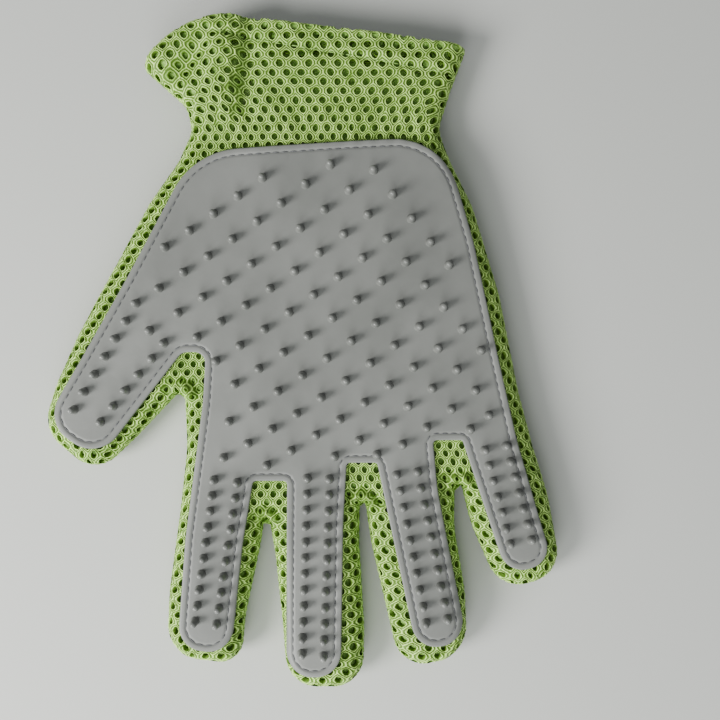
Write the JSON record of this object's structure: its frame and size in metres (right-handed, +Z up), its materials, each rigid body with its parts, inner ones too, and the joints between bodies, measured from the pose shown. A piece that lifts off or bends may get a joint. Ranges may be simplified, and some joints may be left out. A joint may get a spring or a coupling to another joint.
{
  "type": "grooming glove",
  "caption": "Right-hand pet grooming glove with a nubbed rubber pad over palm and digits, airy mesh fabric body, flared cuff and peel-open wrist strap.",
  "frame": {"origin": "under the middle of the whole glove, on the surface its back lies on", "axes": "+X across the palm towards the little finger, +Y from the fingers to the cuff, +Z up out of the palm"},
  "size_m": [0.1772, 0.2336, 0.0183],
  "materials": {
    "rubber": "matte",
    "mesh": "satin",
    "thread": "satin",
    "elastic": "matte",
    "webbing": "matte",
    "loop_pile": "matte",
    "hook_tape": "matte"
  },
  "bodies": {
    "hand": {"palm_pad": "rubber", "palm_nubs": "rubber", "palm_stitching": "thread", "palm_mesh": "mesh", "back_mesh": "mesh"},
    "thumb_base": {"thumb_base_pad": "rubber", "thumb_base_stitching": "thread", "thumb_base_palm_mesh": "mesh", "thumb_base_back_mesh": "mesh"},
    "thumb_tip": {"thumb_tip_pad": "rubber", "thumb_tip_stitching": "thread", "thumb_tip_palm_mesh": "mesh", "thumb_tip_back_mesh": "mesh"},
    "index_base": {"index_base_pad": "rubber", "index_base_stitching": "thread", "index_base_palm_mesh": "mesh", "index_base_back_mesh": "mesh"},
    "index_tip": {"index_tip_pad": "rubber", "index_tip_stitching": "thread", "index_tip_palm_mesh": "mesh", "index_tip_back_mesh": "mesh"},
    "middle_base": {"middle_base_pad": "rubber", "middle_base_stitching": "thread", "middle_base_palm_mesh": "mesh", "middle_base_back_mesh": "mesh"},
    "middle_tip": {"middle_tip_pad": "rubber", "middle_tip_stitching": "thread", "middle_tip_palm_mesh": "mesh", "middle_tip_back_mesh": "mesh"},
    "ring_base": {"ring_base_pad": "rubber", "ring_base_stitching": "thread", "ring_base_palm_mesh": "mesh", "ring_base_back_mesh": "mesh"},
    "ring_tip": {"ring_tip_pad": "rubber", "ring_tip_stitching": "thread", "ring_tip_palm_mesh": "mesh", "ring_tip_back_mesh": "mesh"},
    "little_base": {"little_base_pad": "rubber", "little_base_stitching": "thread", "little_base_palm_mesh": "mesh", "little_base_back_mesh": "mesh"},
    "little_tip": {"little_tip_pad": "rubber", "little_tip_stitching": "thread", "little_tip_palm_mesh": "mesh", "little_tip_back_mesh": "mesh"},
    "cuff": {"cuff_palm_mesh": "mesh", "cuff_back_mesh": "mesh", "cuff_hem": "mesh", "hem_stitching": "thread", "wrist_elastic": "elastic", "strap_loop_patch": "loop_pile", "strap_anchor": "webbing"},
    "strap": {"wrist_strap": "webbing", "strap_hook_patch": "hook_tape"}
  },
  "joints": [
    {"name": "thumb_knuckle", "type": "hinge", "parent": "hand", "child": "thumb_base", "pos_m": [-0.05961, -0.00202, 0.0164], "axis": [-0.8231, 0.5678, 0], "range_deg": [-6, 50]},
    {"name": "thumb_bend", "type": "hinge", "parent": "thumb_base", "child": "thumb_tip", "pos_m": [-0.0672, -0.01379, 0.0164], "axis": [-0.8231, 0.5678, 0], "range_deg": [-6, 55]},
    {"name": "index_knuckle", "type": "hinge", "parent": "hand", "child": "index_base", "pos_m": [-0.02927, -0.06308, 0.0164], "axis": [-1, 0, 0], "range_deg": [-6, 70]},
    {"name": "index_bend", "type": "hinge", "parent": "index_base", "child": "index_tip", "pos_m": [-0.03128, -0.07917, 0.0164], "axis": [-1, 0, 0], "range_deg": [-6, 80]},
    {"name": "middle_knuckle", "type": "hinge", "parent": "hand", "child": "middle_base", "pos_m": [0.00469, -0.06248, 0.0164], "axis": [-1, 0, 0], "range_deg": [-6, 70]},
    {"name": "middle_bend", "type": "hinge", "parent": "middle_base", "child": "middle_tip", "pos_m": [0.00594, -0.08438, 0.0164], "axis": [-1, 0, 0], "range_deg": [-6, 80]},
    {"name": "ring_knuckle", "type": "hinge", "parent": "hand", "child": "ring_base", "pos_m": [0.03832, -0.06118, 0.0164], "axis": [-1, 0, 0], "range_deg": [-6, 70]},
    {"name": "ring_bend", "type": "hinge", "parent": "ring_base", "child": "ring_tip", "pos_m": [0.04097, -0.07798, 0.0164], "axis": [-1, 0, 0], "range_deg": [-6, 80]},
    {"name": "little_knuckle", "type": "hinge", "parent": "hand", "child": "little_base", "pos_m": [0.07155, -0.05178, 0.0164], "axis": [-1, 0, 0], "range_deg": [-6, 70]},
    {"name": "little_bend", "type": "hinge", "parent": "little_base", "child": "little_tip", "pos_m": [0.07472, -0.06238, 0.0164], "axis": [-1, 0, 0], "range_deg": [-6, 75]},
    {"name": "wrist_bend", "type": "hinge", "parent": "hand", "child": "cuff", "pos_m": [0.00395, 0.07762, 0.007], "axis": [1, 0, 0], "range_deg": [-20, 20]},
    {"name": "strap_peel", "type": "hinge", "parent": "cuff", "child": "strap", "pos_m": [-0.03525, 0.09012, 0], "axis": [0, 1, 0], "range_deg": [0, 120]}
  ]
}
